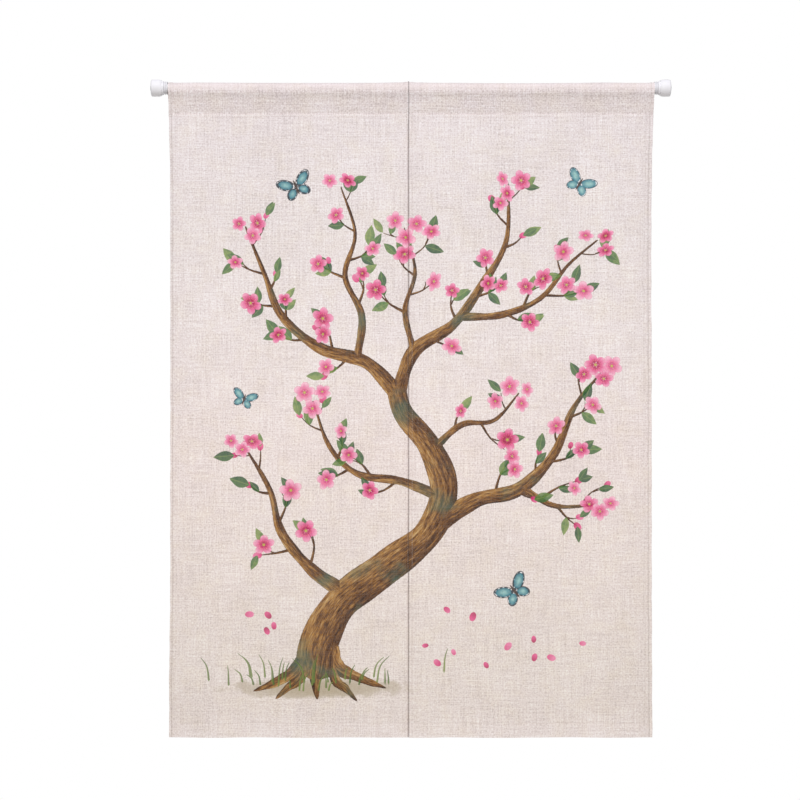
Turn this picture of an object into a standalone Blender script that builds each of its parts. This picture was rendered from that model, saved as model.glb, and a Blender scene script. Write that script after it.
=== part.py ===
"""A split door curtain of two cloth panels, hung by their pockets on a spring-tension rod.

Metres, +Z up. The origin is the middle of the left foot's flat outer face, +X runs along the
rod to the right foot, and the side seen in use faces -Y.
"""

import math
from collections import namedtuple

import bmesh
import bpy

# Rod
ROD_LENGTH = 0.937  # from the left foot's face to the right foot's
OUTER_TUBE_D = 0.016
INNER_TUBE_D = 0.013
TUBE_WALL = 0.0009
TUBE_STEP_X = 0.640  # where the outer tube ends and the inner tube comes out
TUBE_OVERLAP = 0.150  # how far the inner tube reaches back inside the outer one
ROUND_STEPS = 32
FIT_GAP = 0.0003  # left between pieces that touch
WELD = 0.00001  # points closer than this become one

# End fittings
FOOT_D = 0.0306
FOOT_LENGTH = 0.0203
FOOT_FACE_D = 0.010  # flat middle that presses on the wall
FOOT_BOSS_D = 0.0135  # foot of the raised boss round that flat
FOOT_BOSS = 0.0015  # how far the boss stands out
FOOT_RIM = 0.0018  # rounding between the face and the side
FOOT_NECK_D = 0.0275  # where the side tapers to, at the collar
FOOT_TAPER = 0.005
COLLAR_D = 0.0245
COLLAR_LENGTH = 0.0099
COLLAR_RIM = 0.0010
SOCKET_DEPTH = 0.012  # how far a tube's end goes into its foot

# Cloth
CLOTH_THICKNESS = 0.0012
HEM_THICKNESS = 0.0020
SIDE_HEM = 0.0085
BOTTOM_HEM = 0.0275
HEM_STEP = 0.0015  # width over which a hem's edge steps down to the single cloth
HEM_ROWS = 3  # the rows of points, from the bottom edge, that are as thick as the hem
HEM_COLUMNS = 2  # the same from each side edge
CLOTH_BOTTOM_Z = -1.1689
POCKET_STITCH_Z = -0.0493
FOLD_START = 0.060  # below the stitches the folds take this long to begin
BODY_COLUMNS = 22
BODY_ROWS = 17
WRAP_STEPS = 10

# The split: the two pockets meet there, and below them the right panel laps over the left
SPLIT_X = 0.4646
SPLIT_GAP = 0.0006
LEFT_LAP = 0.0030  # how far the left panel's edge then reaches behind the right panel
LAP_FROM = 0.045  # below the stitches the left edge starts to reach there
LAP_TO = 0.110
LAP_DEPTH = 0.0016  # how far each lapping edge moves out of the cloth's plane
LAP_NEAR = 0.012  # distance from the split that moves out fully
LAP_FAR = 0.075  # distance from the split that stays in the plane
LAP_DEPTH_FROM = 0.002
LAP_DEPTH_TO = 0.040

Finish = namedtuple("Finish", "colour roughness")
CLOTH = Finish(colour=(0.80, 0.74, 0.70, 1.0), roughness=0.90)
PAINTED_STEEL = Finish(colour=(0.88, 0.87, 0.85, 1.0), roughness=0.35)
MOULDED_PLASTIC = Finish(colour=(0.80, 0.79, 0.76, 1.0), roughness=0.50)

Edge = namedtuple("Edge", "z x")
LEFT_EDGE = (
    Edge(z=0.010, x=0.0325),
    Edge(z=-0.031, x=0.0325),
    Edge(z=-0.073, x=0.0333),
    Edge(z=-0.130, x=0.0347),
    Edge(z=-0.184, x=0.0353),
    Edge(z=-0.886, x=0.0353),
    Edge(z=-0.940, x=0.0346),
    Edge(z=-0.994, x=0.0341),
    Edge(z=-1.048, x=0.0332),
    Edge(z=-1.180, x=0.0331),
)
RIGHT_EDGE = (
    Edge(z=0.010, x=0.9062),
    Edge(z=-0.015, x=0.9062),
    Edge(z=-0.037, x=0.9054),
    Edge(z=-0.064, x=0.9043),
    Edge(z=-0.130, x=0.9027),
    Edge(z=-0.238, x=0.9013),
    Edge(z=-0.400, x=0.9013),
    Edge(z=-0.454, x=0.9020),
    Edge(z=-0.940, x=0.9022),
    Edge(z=-1.075, x=0.9029),
    Edge(z=-1.180, x=0.9034),
)

# Soft upright folds: a positive depth stands forward, a negative one falls back
Fold = namedtuple("Fold", "x width top bottom")
FOLDS = (
    Fold(x=0.034, width=0.040, top=-0.0006, bottom=-0.0022),
    Fold(x=0.108, width=0.046, top=0.0008, bottom=0.0030),
    Fold(x=0.180, width=0.040, top=-0.0008, bottom=-0.0028),
    Fold(x=0.279, width=0.052, top=0.0010, bottom=0.0032),
    Fold(x=0.351, width=0.040, top=-0.0006, bottom=-0.0024),
    Fold(x=0.440, width=0.038, top=0.0005, bottom=0.0020),
    Fold(x=0.492, width=0.036, top=0.0005, bottom=0.0018),
    Fold(x=0.543, width=0.038, top=-0.0007, bottom=-0.0027),
    Fold(x=0.626, width=0.052, top=0.0010, bottom=0.0034),
    Fold(x=0.759, width=0.050, top=-0.0009, bottom=-0.0030),
    Fold(x=0.832, width=0.044, top=0.0009, bottom=0.0028),
    Fold(x=0.900, width=0.036, top=-0.0006, bottom=-0.0020),
)

# Half the space between the pocket's two layers, from the stitches up to the rod
Pocket = namedtuple("Pocket", "z half")
POCKET = (
    Pocket(z=-0.0463, half=0.0015),
    Pocket(z=-0.0400, half=0.0019),
    Pocket(z=-0.0310, half=0.0026),
    Pocket(z=-0.0230, half=0.0036),
    Pocket(z=-0.0170, half=0.0049),
    Pocket(z=-0.0120, half=0.0064),
    Pocket(z=-0.0075, half=0.0078),
    Pocket(z=-0.0035, half=0.0087),
)
FACET = math.cos(math.pi / WRAP_STEPS / 2)  # a facet's middle lies nearer the rod than its ends
WRAP_RADIUS = (OUTER_TUBE_D / 2 + FIT_GAP + CLOTH_THICKNESS / 2) / FACET

LEFT, RIGHT = -1, 1


def clear_scene():
    for old in list(bpy.data.objects):
        bpy.data.objects.remove(old, do_unlink=True)


def make_collection(name):
    collection = bpy.data.collections.new(name)
    bpy.context.scene.collection.children.link(collection)
    return collection


def make_material(name, finish):
    material = bpy.data.materials.new(name)
    material.use_nodes = True
    shader = material.node_tree.nodes["Principled BSDF"]
    shader.inputs["Base Color"].default_value = finish.colour
    shader.inputs["Roughness"].default_value = finish.roughness
    shader.inputs["Metallic"].default_value = 0.0
    return material


def smoothstep(low, high, value):
    """A soft step from 0 at low to 1 at high, where low may be the larger of the two."""
    part = min(1.0, max(0.0, (value - low) / (high - low)))
    return part * part * (3.0 - 2.0 * part)


def edge_x(outline, z):
    """The outline's x at this height, read along its table from top to bottom."""
    for upper, lower in zip(outline, outline[1:]):
        if z >= lower.z:
            share = smoothstep(upper.z, lower.z, min(z, upper.z))
            return upper.x + (lower.x - upper.x) * share
    return outline[-1].x


def fold_depth(x, z):
    """How far the cloth stands forward of its plane, growing from the pocket to the hem."""
    drop = smoothstep(POCKET_STITCH_Z, CLOTH_BOTTOM_Z, z)
    start = smoothstep(POCKET_STITCH_Z, POCKET_STITCH_Z - FOLD_START, z)
    total = 0.0
    for fold in FOLDS:
        depth = fold.top + (fold.bottom - fold.top) * drop
        total += depth * math.exp(-(((x - fold.x) / fold.width) ** 2))
    return total * start


def lap_depth(x, z, side):
    """How far a panel's inner edge leaves the cloth's plane where the two panels lap."""
    below = POCKET_STITCH_Z - z
    near = smoothstep(LAP_FAR, LAP_NEAR, abs(x - SPLIT_X))
    return side * LAP_DEPTH * near * smoothstep(LAP_DEPTH_FROM, LAP_DEPTH_TO, below)


def inner_edge_x(z, side):
    """The panel's edge at the split: once the panels lap, the left one reaches past it."""
    lap = smoothstep(LAP_FROM, LAP_TO, POCKET_STITCH_Z - z) if side == LEFT else 0.0
    return SPLIT_X + side * SPLIT_GAP / 2 + LEFT_LAP * lap


def panel_rows():
    """The cloth's section, from the bottom hem up the front, over the rod and down the back.

    Each row is (z, y), with y None below the pocket, where the folds alone set it.
    """
    hem_top = CLOTH_BOTTOM_Z + BOTTOM_HEM
    rows = [(CLOTH_BOTTOM_Z, None), (CLOTH_BOTTOM_Z + BOTTOM_HEM / 2, None)]
    rows += [(hem_top - HEM_STEP, None), (hem_top, None)]
    reach = POCKET_STITCH_Z - hem_top
    rows += [(hem_top + reach * (i + 1) / BODY_ROWS, None) for i in range(BODY_ROWS)]
    rows += [(spot.z, -spot.half) for spot in POCKET]
    for i in range(WRAP_STEPS + 1):
        turn = math.pi * i / WRAP_STEPS
        rows.append((WRAP_RADIUS * math.sin(turn), -WRAP_RADIUS * math.cos(turn)))
    rows += [(spot.z, spot.half) for spot in reversed(POCKET)]
    rows.append((POCKET_STITCH_Z, None))
    return rows


def panel_columns():
    """Places across a panel from its left edge: a share of the width plus a fixed distance."""
    columns = [(0.0, 0.0), (0.0, SIDE_HEM - HEM_STEP), (0.0, SIDE_HEM)]
    columns += [(i / BODY_COLUMNS, 0.0) for i in range(1, BODY_COLUMNS)]
    columns += [(1.0, -SIDE_HEM), (1.0, HEM_STEP - SIDE_HEM), (1.0, 0.0)]
    return columns


def make_panel(name, side, collection, material):
    """One panel: a grid laid along the section, with thick hems, closed round the pocket."""
    rows, columns = panel_rows(), panel_columns()
    bpy.ops.mesh.primitive_grid_add(
        x_subdivisions=len(columns) - 1, y_subdivisions=len(rows) - 1, size=1.0
    )
    panel = bpy.context.object
    panel.name = panel.data.name = name
    hem_group = panel.vertex_groups.new(name="hem")
    last_row, last_column = len(rows) - 1, len(columns) - 1
    for vertex in panel.data.vertices:
        row = round((vertex.co.y + 0.5) * last_row)
        column = round((vertex.co.x + 0.5) * last_column)
        z, y = rows[row]
        if side == LEFT:
            low, high = edge_x(LEFT_EDGE, z), inner_edge_x(z, side)
        else:
            low, high = inner_edge_x(z, side), edge_x(RIGHT_EDGE, z)
        share, distance = columns[column]
        x = low + (high - low) * share + distance
        if y is None:
            y = -fold_depth(x, z) - lap_depth(x, z, side)
        vertex.co = (x, y, z)
        in_bottom_hem = row < HEM_ROWS
        in_side_hem = min(column, last_column - column) < HEM_COLUMNS
        if (in_bottom_hem or in_side_hem) and z < POCKET_STITCH_Z:
            hem_group.add([vertex.index], 1.0, "REPLACE")

    mesh = bmesh.new()
    mesh.from_mesh(panel.data)
    bmesh.ops.remove_doubles(mesh, verts=mesh.verts, dist=WELD)
    bmesh.ops.reverse_faces(mesh, faces=mesh.faces)
    mesh.to_mesh(panel.data)
    mesh.free()

    wall = panel.modifiers.new("cloth thickness", "SOLIDIFY")
    wall.solidify_mode = "NON_MANIFOLD"
    wall.nonmanifold_thickness_mode = "CONSTRAINTS"
    wall.thickness = HEM_THICKNESS
    wall.offset = 0.0
    wall.vertex_group = hem_group.name
    wall.thickness_vertex_group = CLOTH_THICKNESS / HEM_THICKNESS
    panel.data.materials.append(material)
    move_to(panel, collection)
    return panel


def move_to(piece, collection):
    for old in list(piece.users_collection):
        old.objects.unlink(piece)
    collection.objects.link(piece)


def turned(name, profile, collection, material, parent, mirrored=False):
    """A round piece on the rod's axis, from (x, radius) points that run down its outer side."""
    mesh = bpy.data.meshes.new(name)
    points = [(radius, 0.0, x) for x, radius in profile]
    links = [(i, (i + 1) % len(points)) for i in range(len(points))]
    if profile[0][1] == 0.0 and profile[-1][1] == 0.0:
        links.pop()
    mesh.from_pydata(points, links, [])
    piece = bpy.data.objects.new(name, mesh)
    collection.objects.link(piece)
    piece.parent = parent
    piece.rotation_euler.y = -math.pi / 2 if mirrored else math.pi / 2
    piece.location.x = ROD_LENGTH if mirrored else 0.0
    spin = piece.modifiers.new("turned", "SCREW")
    spin.axis = "Z"
    spin.steps = spin.render_steps = ROUND_STEPS
    spin.use_merge_vertices = True
    spin.merge_threshold = WELD
    spin.use_smooth_shade = True
    mesh.materials.append(material)
    return piece


def make_tube(name, start, end, diameter, collection, material, parent):
    """An open tube from start to end along the rod."""
    radius = diameter / 2
    bore = radius - TUBE_WALL
    profile = ((end, bore), (end, radius), (start, radius), (start, bore))
    return turned(name, profile, collection, material, parent)


def make_collar(name, tube_d, collection, material, parent, mirrored):
    """A sleeve that the tube passes through, between the foot and the cloth."""
    bore = tube_d / 2 + FIT_GAP
    radius = COLLAR_D / 2
    start = FOOT_LENGTH + FIT_GAP
    end = start + COLLAR_LENGTH
    profile = (
        (end, bore),
        (end, radius - COLLAR_RIM),
        (end - COLLAR_RIM, radius),
        (start, radius),
        (start, bore),
    )
    return turned(name, profile, collection, material, parent, mirrored)


def make_foot(name, tube_d, collection, material, parent, mirrored):
    """The round pad: a raised boss on its face, a tapered back and a socket for the tube."""
    bore = tube_d / 2 + FIT_GAP
    radius = FOOT_D / 2
    floor = FOOT_LENGTH - SOCKET_DEPTH
    profile = (
        (floor, 0.0),
        (floor, bore),
        (FOOT_LENGTH, bore),
        (FOOT_LENGTH, FOOT_NECK_D / 2),
        (FOOT_LENGTH - FOOT_TAPER, radius),
        (FOOT_BOSS + FOOT_RIM, radius),
        (FOOT_BOSS, radius - FOOT_RIM),
        (FOOT_BOSS, FOOT_BOSS_D / 2),
        (0.0, FOOT_FACE_D / 2),
        (0.0, 0.0),
    )
    return turned(name, profile, collection, material, parent, mirrored)


def main():
    clear_scene()
    curtain = make_collection("Door curtain")
    rod = bpy.data.objects.new("rod axis", None)
    curtain.objects.link(rod)
    cloth = make_material("cloth", CLOTH)
    rod_white = make_material("rod", PAINTED_STEEL)
    foot_white = make_material("foot", MOULDED_PLASTIC)

    seat = FOOT_LENGTH - SOCKET_DEPTH + FIT_GAP
    reach = TUBE_STEP_X - TUBE_OVERLAP
    make_tube("outer_tube", seat, TUBE_STEP_X, OUTER_TUBE_D, curtain, rod_white, rod)
    make_tube("inner_tube", reach, ROD_LENGTH - seat, INNER_TUBE_D, curtain, rod_white, rod)
    ends = (("left", OUTER_TUBE_D, False), ("right", INNER_TUBE_D, True))
    for end, tube_d, mirrored in ends:
        make_collar(f"{end}_collar", tube_d, curtain, foot_white, rod, mirrored)
        make_foot(f"{end}_foot", tube_d, curtain, foot_white, rod, mirrored)
    for name, side in (("left_panel", LEFT), ("right_panel", RIGHT)):
        make_panel(name, side, curtain, cloth).parent = rod


main()
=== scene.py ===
"""The looks of a split door curtain: two printed cloth panels on a white tension rod.

Metres, in the part's own frame: +X runs along the rod, +Z is up and the printed front faces -Y.
"""

import math
import random
from collections import namedtuple

import bpy
import numpy as np
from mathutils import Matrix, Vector


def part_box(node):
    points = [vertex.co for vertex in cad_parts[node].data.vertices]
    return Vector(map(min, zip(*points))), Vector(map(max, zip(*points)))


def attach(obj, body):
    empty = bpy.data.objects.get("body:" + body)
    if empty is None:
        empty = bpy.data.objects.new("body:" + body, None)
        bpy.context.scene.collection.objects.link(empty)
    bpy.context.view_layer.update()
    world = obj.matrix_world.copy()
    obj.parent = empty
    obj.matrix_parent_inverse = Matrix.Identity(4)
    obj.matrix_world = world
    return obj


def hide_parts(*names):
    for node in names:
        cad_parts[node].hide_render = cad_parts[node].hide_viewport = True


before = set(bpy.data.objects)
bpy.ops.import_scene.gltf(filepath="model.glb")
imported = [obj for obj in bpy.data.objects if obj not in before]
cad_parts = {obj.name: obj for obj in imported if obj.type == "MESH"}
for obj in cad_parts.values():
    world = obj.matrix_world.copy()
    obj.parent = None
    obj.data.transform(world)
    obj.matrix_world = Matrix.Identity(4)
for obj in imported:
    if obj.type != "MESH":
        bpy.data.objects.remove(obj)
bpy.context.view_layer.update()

LEFT, RIGHT = -1, 1

# Sizes of the cloth, as in the part
CLOTH_BOTTOM_Z = -1.1689
STITCH_Z = -0.0493
BOTTOM_HEM = 0.0275
SIDE_HEM = 0.0085
SPLIT_X = 0.4646
LEFT_LAP = 0.0030
LAP_DEPTH = 0.0016
LAP_NEAR, LAP_FAR = 0.012, 0.075
LAP_DEPTH_FROM, LAP_DEPTH_TO = 0.002, 0.040
FOLD_START = 0.060

# The outer edges of both panels, by height and place, as in the part
OUTER_EDGES = {
    LEFT: (
        (-1.180, -1.048, -0.994, -0.940, -0.886, -0.184, -0.130, -0.073, -0.031, 0.012),
        (0.0331, 0.0332, 0.0341, 0.0346, 0.0353, 0.0353, 0.0347, 0.0333, 0.0325, 0.0325),
    ),
    RIGHT: (
        (-1.180, -1.075, -0.940, -0.454, -0.400, -0.238, -0.130, -0.064, -0.037, -0.015, 0.012),
        (0.9034, 0.9029, 0.9022, 0.9020, 0.9013, 0.9013, 0.9027, 0.9043, 0.9054, 0.9062, 0.9062),
    ),
}

# Soft upright folds, as in the part: a positive depth stands forward, a negative one falls back
Fold = namedtuple("Fold", "x width top bottom")
FOLDS = (
    Fold(0.034, 0.040, -0.0006, -0.0022),
    Fold(0.108, 0.046, 0.0008, 0.0030),
    Fold(0.180, 0.040, -0.0008, -0.0028),
    Fold(0.279, 0.052, 0.0010, 0.0032),
    Fold(0.351, 0.040, -0.0006, -0.0024),
    Fold(0.440, 0.038, 0.0005, 0.0020),
    Fold(0.492, 0.036, 0.0005, 0.0018),
    Fold(0.543, 0.038, -0.0007, -0.0027),
    Fold(0.626, 0.052, 0.0010, 0.0034),
    Fold(0.759, 0.050, -0.0009, -0.0030),
    Fold(0.832, 0.044, 0.0009, 0.0028),
    Fold(0.900, 0.036, -0.0006, -0.0020),
)

# The split is narrower than in the part, and its lap begins nearer to the stitches
SPLIT_GAP = 0.0002
LAP_FROM, LAP_TO = 0.004, 0.030

# Over how much height the tables of the edges and of the pocket are smoothed, each way
EDGE_REACH = 0.02
POCKET_REACH = 0.0022

# Thickness and seams
SINGLE = 0.00075  # one layer of cloth
HEMMED = 0.0015  # a hem's layers together
FRONT_OFFSET = 0.0005  # the front surface lies this far before the sheet's middle
ROD_RADIUS = 0.008
ROD_SLACK = 0.0006
WRAP_RADIUS = ROD_RADIUS + ROD_SLACK + SINGLE
LAYER_GAP = 0.00004  # between the pocket's two layers where they are sewn
ALLOWANCE = 0.0042  # the pocket's turned edge below its stitches
ALLOWANCE_STEPS = (0.25, 0.5, 0.75, 0.92, 1.0)
SEAM_INSETS = {LEFT: 0.0043, RIGHT: 0.0060}  # the side stitches from the side edges
BOTTOM_SEAM = 0.0255  # bottom stitches from the bottom edge
SEAM_MARGIN = 0.001  # what a seam leaves free at its ends
STITCH_PITCH = 0.0032
STITCH_LENGTH = 0.0025
THREAD_D = 0.00050
POCKET_THREAD_D = 0.00150
THREAD_FLATNESS = 0.6
THREAD_LIFT = 0.12  # how far a stitch is raised out of the cloth, in its own thicknesses
TUCK_DEPTH = 0.0060  # how far the left panel's inner hem turns back behind the right panel
TUCK_BREADTH = 0.0015

# Flat size of each panel, cut: hems are turned twice and the pocket runs over the rod
LEFT_CUT = (0.466, 1.305)
RIGHT_CUT = (0.472, 1.305)

# Mesh steps: how far each span of rows or columns goes on, and its step
FINE_STEP = 0.0009
POCKET_STEP = 0.0013
BODY_STEP_X = 0.0052
ROW_SPANS = (
    (CLOTH_BOTTOM_Z + 0.003, 0.0010),
    (CLOTH_BOTTOM_Z + 0.022, 0.0038),
    (CLOTH_BOTTOM_Z + 0.030, FINE_STEP),
    (STITCH_Z - 0.010, 0.0050),
    (STITCH_Z, FINE_STEP),
)
HEM_SPANS = ((0.0024, FINE_STEP / 2), (SIDE_HEM + 0.0035, FINE_STEP * 0.8))
WRAP_TURNS = 22
CELL = 0.0060  # well over half a mesh face's diagonal, so that no face on a motif is missed


def bell(distance, breadth):
    """1 in the middle, and softly less within about a breadth of it."""
    return np.exp(-((distance / breadth) ** 2))


class Ridge(namedtuple("Ridge", "place breadth height")):
    """A soft ridge along a line, or a groove where its height is negative."""

    def at(self, distance):
        return self.height * bell(distance - self.place, self.breadth)


def ridges(distance, table):
    return sum(ridge.at(distance) for ridge in table)


# The cloth's relief, by the distance inward from the side stitches, from the side edge and from
# the bottom edge, by the height over the pocket's stitches and along the rod
SIDE_SEAM_RELIEF = (
    Ridge(0.0, 0.0010, -0.00070),
    Ridge(0.0036, 0.0014, 0.00034),
    Ridge(0.0058, 0.0009, -0.00022),
)
SIDE_EDGE_RELIEF = (Ridge(0.0020, 0.0014, 0.00030),)
BOTTOM_RELIEF = (Ridge(BOTTOM_SEAM, 0.0011, -0.00030), Ridge(0.0120, 0.0090, 0.00022))
POCKET_RELIEF = (Ridge(-0.0016, 0.0015, 0.00040), Ridge(0.0036, 0.0016, -0.00016))
TOP_RISES = (
    Ridge(0.100, 0.050, 0.0006),
    Ridge(0.300, 0.060, -0.0002),
    Ridge(0.446, 0.024, 0.0008),
    Ridge(0.464, 0.0014, 0.0015),
    Ridge(0.480, 0.022, 0.0007),
    Ridge(0.602, 0.030, -0.0004),
    Ridge(0.680, 0.055, -0.0007),
    Ridge(0.818, 0.030, 0.0006),
)
PUCKER_BREADTHS = (0.010, 0.012)  # beside the side edges and beside the other seams
SIDE_PUCKER, BOTTOM_PUCKER, POCKET_PUCKER = 0.00010, 0.00012, 0.00016

# How far edges round back, by the distance from the edge
EDGE_ROUND = Ridge(0.0, 0.000595, 0.00035)
SPLIT_ROUND = Ridge(0.0, 0.0008, 0.0011)
POCKET_ROUND = Ridge(0.0, 0.0006, 0.0007)

# Painted shade in the seams, hems and split's edges; a negative height is painted light instead
SEAM_PAINTED_SHADING = (
    Ridge(-0.0003, 0.0011, 1.0),
    Ridge(0.0032, 0.0012, -0.30),
    Ridge(0.0056, 0.0009, 0.35),
)
# painted light along the right panel's outer edge, where its hem would catch the light
RIGHT_HEM_PAINTED_LIGHT = Ridge(0.0, 0.0032, -0.22)
INNER_SEAM_SHADE = 0.35
POCKET_SEAM_SHADE = 0.45
SPLIT_LINE = Ridge(0.0, 0.0009, 1.0)
SPLIT_SHADE = 1.7
POCKET_SPLIT_SHADE = 2.3

# Slow waves: the cloth never hangs quite plane
Wave = namedtuple("Wave", "height across up start")
SLOW_WAVES = (
    Wave(0.00030, across=31, up=9, start=1.0),
    Wave(0.00026, across=17, up=-23, start=2.0),
    Wave(0.00018, across=47, up=36, start=0.0),
    Wave(0.00014, across=83, up=-14, start=0.7),
)
WAVE_START = 0.12  # below the stitches the waves take this long to begin

# Half the space between the pocket's two layers
POCKET_Z = (-0.0493, -0.0463, -0.0400, -0.0310, -0.0230, -0.0170, -0.0120, -0.0075, -0.0035, 0.0)
POCKET_HALF = (0.0002, 0.0006, 0.0015, 0.0026, 0.0036, 0.0049, 0.0065, 0.0082, 0.0088, 0.0089)

# Creases listed one by one: a soft trough or ridge with its middle, run, breadth, lean and depth
Crease = namedtuple("Crease", "x z run breadth lean depth")
CREASES = (
    Crease(0.042, -0.058, 0.016, 0.0030, -38, -0.0007),
    Crease(0.060, -0.063, 0.020, 0.0050, -62, 0.0005),
    Crease(0.078, -0.062, 0.016, 0.0045, -80, -0.0005),
    Crease(0.093, -0.064, 0.022, 0.0060, -86, 0.0004),
    Crease(0.235, -0.066, 0.030, 0.0090, -84, -0.0004),
    Crease(0.330, -0.062, 0.026, 0.0070, -95, 0.0004),
    Crease(0.452, -0.066, 0.030, 0.0050, -97, -0.0006),
    Crease(0.478, -0.064, 0.026, 0.0050, -82, -0.0006),
    Crease(0.600, -0.064, 0.026, 0.0080, -92, 0.0004),
    Crease(0.706, -0.066, 0.030, 0.0090, -94, -0.0004),
    Crease(0.818, -0.062, 0.018, 0.0050, -100, 0.0005),
    Crease(0.838, -0.064, 0.020, 0.0050, -96, -0.0006),
    Crease(0.862, -0.062, 0.018, 0.0045, -108, 0.0005),
    Crease(0.889, -0.060, 0.018, 0.0035, -136, -0.0007),
    Crease(0.150, -0.330, 0.110, 0.0130, -72, -0.0007),
    Crease(0.395, -0.250, 0.120, 0.0140, -98, -0.0006),
    Crease(0.232, -0.720, 0.160, 0.0160, -86, 0.0008),
    Crease(0.405, -0.930, 0.150, 0.0150, -93, -0.0008),
    Crease(0.085, -0.985, 0.120, 0.0120, -80, -0.0008),
    Crease(0.585, -0.300, 0.120, 0.0140, -84, 0.0006),
    Crease(0.795, -0.420, 0.130, 0.0140, -101, -0.0007),
    Crease(0.690, -0.790, 0.170, 0.0160, -91, 0.0008),
    Crease(0.520, -0.960, 0.140, 0.0140, -86, -0.0008),
    Crease(0.850, -1.010, 0.110, 0.0120, -98, -0.0007),
)

# End fittings: the run and the radius of each ring of their outline, from the outer end
TURNED_STEPS = 72
WELD = 0.00001
ROUNDED_EDGE = 0.00022
FOOT_FACE = ((0.0, 0.0046), (0.0003, 0.0051), (0.0014, 0.0064), (0.0015, 0.0068), (0.0015, 0.0126))
FOOT_RIM = ((0.0017, 0.0135), (0.0023, 0.0145), (0.0033, 0.0152), (0.0045, 0.0153))
FOOT_SIDE = ((0.0153, 0.0153), (0.0172, 0.01480), (0.0203, 0.01375), (0.0203, 0.01225))
FOOT_OUTLINE = FOOT_FACE + FOOT_RIM + FOOT_SIDE
COLLAR_BASE = ((0.0203, 0.01225), (0.0240, 0.01220), (0.0241, 0.01020), (0.0259, 0.01020))
COLLAR_BEAD = ((0.0260, 0.01180), (0.0275, 0.01180), (0.0276, 0.01020), (0.0293, 0.01020))
COLLAR_END = ((0.0294, 0.01170), (0.0307, 0.01160), (0.0307, 0.00830))
COLLAR_OUTLINE = COLLAR_BASE + COLLAR_BEAD + COLLAR_END

# Printed wood: a brush stroke through a few points, with its half width at the start and at the
# end, all in millimetres
Bough = namedtuple("Bough", "points start end", defaults=(1.2,))
TRUNK_LOW = ((297, -1052), (304, -996), (344, -925), (425, -862), (500, -800))
TRUNK_HIGH = ((528, -722), (502, -645), (455, -585), (440, -530))
TRUNK = Bough(TRUNK_LOW + TRUNK_HIGH, 36.0, 16.0)
ROOTS = (
    Bough(((280, -975), (270, -1036), (230, -1067), (184, -1086)), 18.5, 0.8),
    Bough(((280, -990), (272, -1054), (246, -1080), (224, -1100)), 17.0, 0.8),
    Bough(((330, -965), (334, -1036), (372, -1060), (424, -1080)), 18.5, 0.8),
    Bough(((328, -985), (330, -1058), (352, -1082), (372, -1104)), 17.0, 0.8),
    Bough(((303, -990), (297, -1060), (300, -1100)), 19.0, 1.0),
)
BOUGHS = (
    Bough(((505, -790), (585, -742), (662, -722), (725, -660), (762, -575), (812, -510)), 18.0),
    Bough(((446, -552), (388, -494), (305, -468), (236, -410), (205, -335), (170, -248)), 14.5),
    Bough(((444, -552), (474, -474), (545, -425), (598, -352), (640, -275), (644, -170)), 14.0),
    Bough(((356, -912), (292, -868), (236, -800), (214, -722), (166, -640)), 13.5),
    Bough(((522, -735), (452, -708), (372, -694), (322, -645), (292, -562)), 10.0),
    Bough(((560, -412), (632, -408), (702, -378), (752, -318), (806, -272)), 7.8),
    Bough(((372, -486), (380, -410), (350, -338), (368, -262), (342, -176)), 7.8),
    Bough(((668, -720), (728, -752), (806, -750)), 7.0),
    Bough(((508, -650), (560, -606), (618, -598), (664, -548)), 7.5),
    Bough(((474, -474), (458, -400), (476, -330), (456, -250)), 6.2),
)
ROOT_SWELL = 0.45  # the share of a root over which it comes out of the trunk
TWIG_SPACING = 0.044
TWIG_LENGTHS = (0.038, 0.090)
SIDE_TWIG_FROM = 0.045  # a longer twig has one of its own
BLOSSOM_RADII = (0.0135, 0.0215)
CROWDED = 0.66  # how near two blossoms may lie, as a share of their radii
TRUNK_FOOT = (0.300, -1.078)
BLADES = 64
FALLEN_PETALS = 15

Flyer = namedtuple("Flyer", "x z span turn tone")
BUTTERFLIES = (
    Flyer(0.262, -0.178, span=0.033, turn=24, tone=0.15),
    Flyer(0.772, -0.172, span=0.029, turn=-32, tone=0.80),
    Flyer(0.655, -0.905, span=0.034, turn=38, tone=0.45),
    Flyer(0.168, -0.560, span=0.024, turn=-18, tone=0.65),
)

# How many motifs of a kind may lie over each other
LAYERS = {"wood": 4, "grass": 3, "leaf": 3, "blossom": 3, "butterfly": 1}
PICTURE_SEED = 5
FAR_AWAY = 9.0  # a place outside every motif
GHOST = 0.13  # how strongly the print shows through on the back

# The weave: how often its threads and slubs change across and along, and how much each shows
THREAD_PITCH = 0.00062
WEAVE_DEPTH = 0.00016
Grain = namedtuple("Grain", "across along weight")
GRAINS = (
    Grain(520.0, 15.0, weight=0.75),
    Grain(18.0, 520.0, weight=0.80),
    Grain(560.0, 230.0, weight=1.05),
    Grain(230.0, 560.0, weight=1.10),
)
PAINTED_SEAM_SHADE = 0.20  # painted shade: how much the cloth is darkened along seams and the split, where shade falls in them
DOUBLED_SHADE = 0.086  # painted shade where it is doubled, for the light that comes through it less
CROWN_SHADE = 0.070  # painted shade on the pocket's top over the rod
CROOK_SHADE = 0.020  # painted shade where the pocket leaves the rod

# Studio
FLOOR_Z = -1.95
FLOOR_RADIUS = 1.7
AMBIENT = 0.44
CAMERA_PLACE = (0.4489, -3.4, -0.5614)
LENS = 85.0
SENSOR_WIDTH = 36.0
FAR_CLIP = 50.0
MIDDLE = (0.47, 0.0, -0.45)
Lamp = namedtuple("Lamp", "name power tint size place target")
LAMPS = (
    Lamp("key light", 142.0, (0.98, 0.975, 1.0), (2.4, 1.6), (0.42, -3.3, 2.9), MIDDLE),
    Lamp("back light", 26.0, (1.0, 0.98, 0.95), (2.4, 1.6), (0.45, 3.2, -0.45), MIDDLE),
    Lamp("low fill", 2.85, (1.0, 0.86, 0.60), (1.8, 0.3), (0.43, -1.3, -0.75), (0.43, 0.0, -0.75)),
)


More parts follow.
